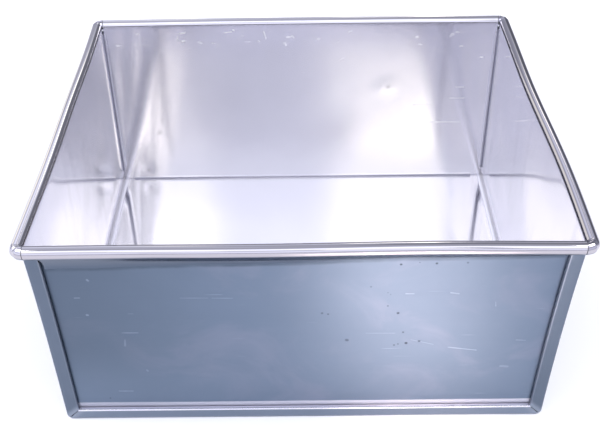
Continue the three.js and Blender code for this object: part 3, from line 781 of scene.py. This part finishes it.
# ------------------------------------------------------------------ floor
floor_mesh = bpy.data.meshes.new("floor")
floor_mesh.from_pydata([(-6, -6, 0), (6, -6, 0), (6, 6, 0), (-6, 6, 0)], [], [(0, 1, 2, 3)])
floor = bpy.data.objects.new("floor", floor_mesh)
scene.collection.objects.link(floor)
material, n = new_material("floor_pale")
shader = n.add("ShaderNodeBsdfPrincipled")
grain = n.noise(n.add("ShaderNodeTexCoord").outputs["Object"], 6.0, 3.0, 0.5)
n.link(n.mix(grain, (0.90, 0.90, 0.905, 1), (0.93, 0.93, 0.935, 1)), shader.inputs["Base Color"])
shader.inputs["Roughness"].default_value = 0.8
n.link(shader.outputs["BSDF"], n.add("ShaderNodeOutputMaterial").inputs["Surface"])
floor_mesh.materials.append(material)

# pale backdrop that curves up from the floor, seen behind the part in low views only
turns, cove = np.radians(np.linspace(0, 360, 97)), np.radians(np.linspace(-90, 0, 13))
section = [(3.6 + 1.6 * math.cos(a), 1.602 + 1.6 * math.sin(a)) for a in cove] + [(5.2, 7.0)]
rows = [[(r * math.cos(t), r * math.sin(t), z) for t in turns[:-1]] for r, z in section]
count = len(turns) - 1
backdrop_mesh = bpy.data.meshes.new("backdrop")
backdrop_mesh.from_pydata([v for row in rows for v in row], [], [
    (i * count + j, i * count + (j + 1) % count, (i + 1) * count + (j + 1) % count, (i + 1) * count + j)
    for i in range(len(rows) - 1) for j in range(count)])
backdrop_mesh.polygons.foreach_set("use_smooth", np.ones(len(backdrop_mesh.polygons), bool))
backdrop_mesh.materials.append(material)
backdrop = bpy.data.objects.new("backdrop", backdrop_mesh)
scene.collection.objects.link(backdrop)
backdrop.visible_diffuse = backdrop.visible_glossy = backdrop.visible_transmission = backdrop.visible_shadow = False

# ------------------------------------------------------------------ light
world = bpy.data.worlds.new("studio")
scene.world = world
world.use_nodes = True
n = Nodes(world.node_tree)
split = n.add("ShaderNodeSeparateXYZ")
n.link(n.add("ShaderNodeTexCoord").outputs["Generated"], split.inputs[0])
east, north, up = split.outputs["X"], split.outputs["Y"], split.outputs["Z"]
rear = n.ramp(north, 0.02, 0.28)
aside_back = n.math("DIVIDE", east, n.math("MAXIMUM", north, 0.05))
aside_front = n.math("DIVIDE", east, n.math("MAXIMUM", n.math("MULTIPLY", north, -1.0), 0.05))


def product(*values):
    out = values[0]
    for v in values[1:]:
        out = n.math("MULTIPLY", out, v)
    return out


def pane(aside, left, right, foot, level, top=(0.68, 0.76), lean=0.0):
    """A soft-edged bright pane of the studio: its sides as tangents of the angle, its foot and top as heights.
    Its right side can lean outwards with height."""
    out = n.math("SUBTRACT", aside, n.math("MULTIPLY_ADD", up, lean, -0.56 * lean)) if lean else aside
    sides = product(n.ramp(aside, *left), n.ramp(out, *right, 1.0, 0.0))
    return product(sides, n.ramp(up, *foot, 0.0, level), n.ramp(up, *top, 1.0, 0.0))


front = n.math("SUBTRACT", 1.0, rear)
behind = product(n.ramp(up, 0.42, 0.60, 0.48, 1.2), n.ramp(up, 0.62, 0.74, 1.0, 0.55),
                 n.ramp(aside_back, 0.18, 0.27, 1.0, 0.55), n.ramp(aside_back, -0.24, -0.15, 1.3, 1.0))
behind = n.math("ADD", behind, pane(aside_back, (0.22, 0.30), (0.55, 0.65), (0.495, 0.54), 0.48, (0.60, 0.66)))
ahead = n.total(n.ramp(up, 0.03, 0.14, 0.8, 1.5), n.ramp(up, 0.42, 0.52, 0.0, -0.48), n.ramp(up, 0.55, 0.64, 0.0, 0.16),
                n.ramp(up, 0.69, 0.75, 0.0, 0.95), n.ramp(up, 0.88, 0.93, 0.0, -1.45))
panes_back = n.total(pane(aside_back, (-0.01, 0.06), (0.178, 0.186), (0.45, 0.53), 0.5, (0.59, 0.64), 1.0),
                     pane(aside_back, (0.040, 0.056), (0.178, 0.186), (0.485, 0.54), 1.8, (0.59, 0.64), 1.0),
                     pane(aside_back, (0.140, 0.150), (0.178, 0.186), (0.48, 0.55), 2.2, (0.66, 0.72)),
                     pane(aside_back, (-0.23, -0.19), (-0.155, -0.105), (0.46, 0.56), 0.6),
                     pane(aside_back, (-0.98, -0.88), (-0.62, -0.56), (0.02, 0.08), 1.1, (0.36, 0.44)))
panes_front = n.total(pane(aside_front, (0.02, 0.05), (0.195, 0.210), (0.47, 0.54), 0.60),
                      pane(aside_front, (-0.58, -0.52), (-0.40, -0.34), (0.53, 0.59), 0.9),
                      pane(aside_front, (-0.42, -0.34), (-0.27, -0.24), (0.59, 0.63), 0.25),
                      pane(aside_front, (-0.27, -0.24), (-0.135, -0.120), (0.59, 0.63), 0.8),
                      pane(aside_front, (0.25, 0.27), (0.40, 0.50), (0.58, 0.63), 1.0))
shade_front = pane(aside_front, (0.19, 0.21), (0.25, 0.27), (0.47, 0.54), 0.7)
sky, light = n.add("ShaderNodeBackground"), n.add("ShaderNodeBackground")
sky.inputs["Color"].default_value = (0.865, 0.885, 1.05, 1)
light.inputs["Color"].default_value = (1.0, 0.93, 0.74, 1)
n.link(n.math("ADD", product(behind, rear), product(n.math("SUBTRACT", ahead, shade_front), front)), sky.inputs["Strength"])
n.link(n.math("ADD", product(panes_back, rear), product(panes_front, front)), light.inputs["Strength"])
both = n.add("ShaderNodeAddShader")
n.link(sky.outputs["Background"], both.inputs[0])
n.link(light.outputs["Background"], both.inputs[1])
n.link(both.outputs["Shader"], n.add("ShaderNodeOutputWorld").inputs["Surface"])


def softbox(name, at, aim, size, radiance, color=(1, 1, 1)):
    data = bpy.data.lights.new(name, "AREA")
    data.shape = "RECTANGLE"
    data.size, data.size_y = size
    data.energy = 4.0 * size[0] * size[1] * radiance
    data.color = color
    o = bpy.data.objects.new(name, data)
    scene.collection.objects.link(o)
    o.location = at
    o.rotation_mode = "QUATERNION"
    o.rotation_quaternion = (Vector(aim) - Vector(at)).to_track_quat("-Z", "Y")
    o.visible_camera = False
    return o


softbox("left_side", (-1.05, -0.15, 1.6), (0.0, 0.0, 0.0), (0.9, 0.9), 4.4, (1.0, 0.98, 0.95))
softbox("right_side", (1.05, -0.15, 1.6), (0.0, 0.0, 0.0), (0.9, 0.9), 5.0, (1.0, 0.98, 0.95))

# a soft pool of light on the ground in front, which the front panel mirrors
pool_data = bpy.data.lights.new("front_pool", "SPOT")
pool_data.energy = 535.0
pool_data.color = (1.0, 0.80, 0.70)
pool_data.spot_size = math.radians(9.0)
pool_data.spot_blend = 1.0
pool_data.shadow_soft_size = 0.03
pool = bpy.data.objects.new("front_pool", pool_data)
scene.collection.objects.link(pool)
pool.location = (0.10, -1.25, 0.55)
pool.rotation_mode = "QUATERNION"
pool.rotation_quaternion = (Vector((0.077, -0.315, 0.0)) - pool.location).to_track_quat("-Z", "Y")

# ------------------------------------------------------------------ camera
F_PX, CAM = 964.786, (2.694, -515.088, 462.087)
YAW, PITCH, ROLL = -0.0082826, 0.6681313, -0.0160019
fw = Vector((math.sin(YAW) * math.cos(PITCH), math.cos(YAW) * math.cos(PITCH), -math.sin(PITCH)))
r0 = Vector((math.cos(YAW), -math.sin(YAW), 0))
u0 = r0.cross(fw)
right = math.cos(ROLL) * r0 + math.sin(ROLL) * u0
upward = -math.sin(ROLL) * r0 + math.cos(ROLL) * u0
cam_data = bpy.data.cameras.new("camera")
cam_data.sensor_width = 36.0
cam_data.lens = F_PX * 36.0 / 600.0
cam_data.clip_start, cam_data.clip_end = 0.01, 50
cam = bpy.data.objects.new("camera", cam_data)
scene.collection.objects.link(cam)
m = Matrix((right, upward, -fw)).transposed().to_4x4()
m.translation = Vector(CAM) * MM
cam.matrix_world = m
scene.camera = cam

scene.view_settings.view_transform = "Standard"
scene.view_settings.look = "None"
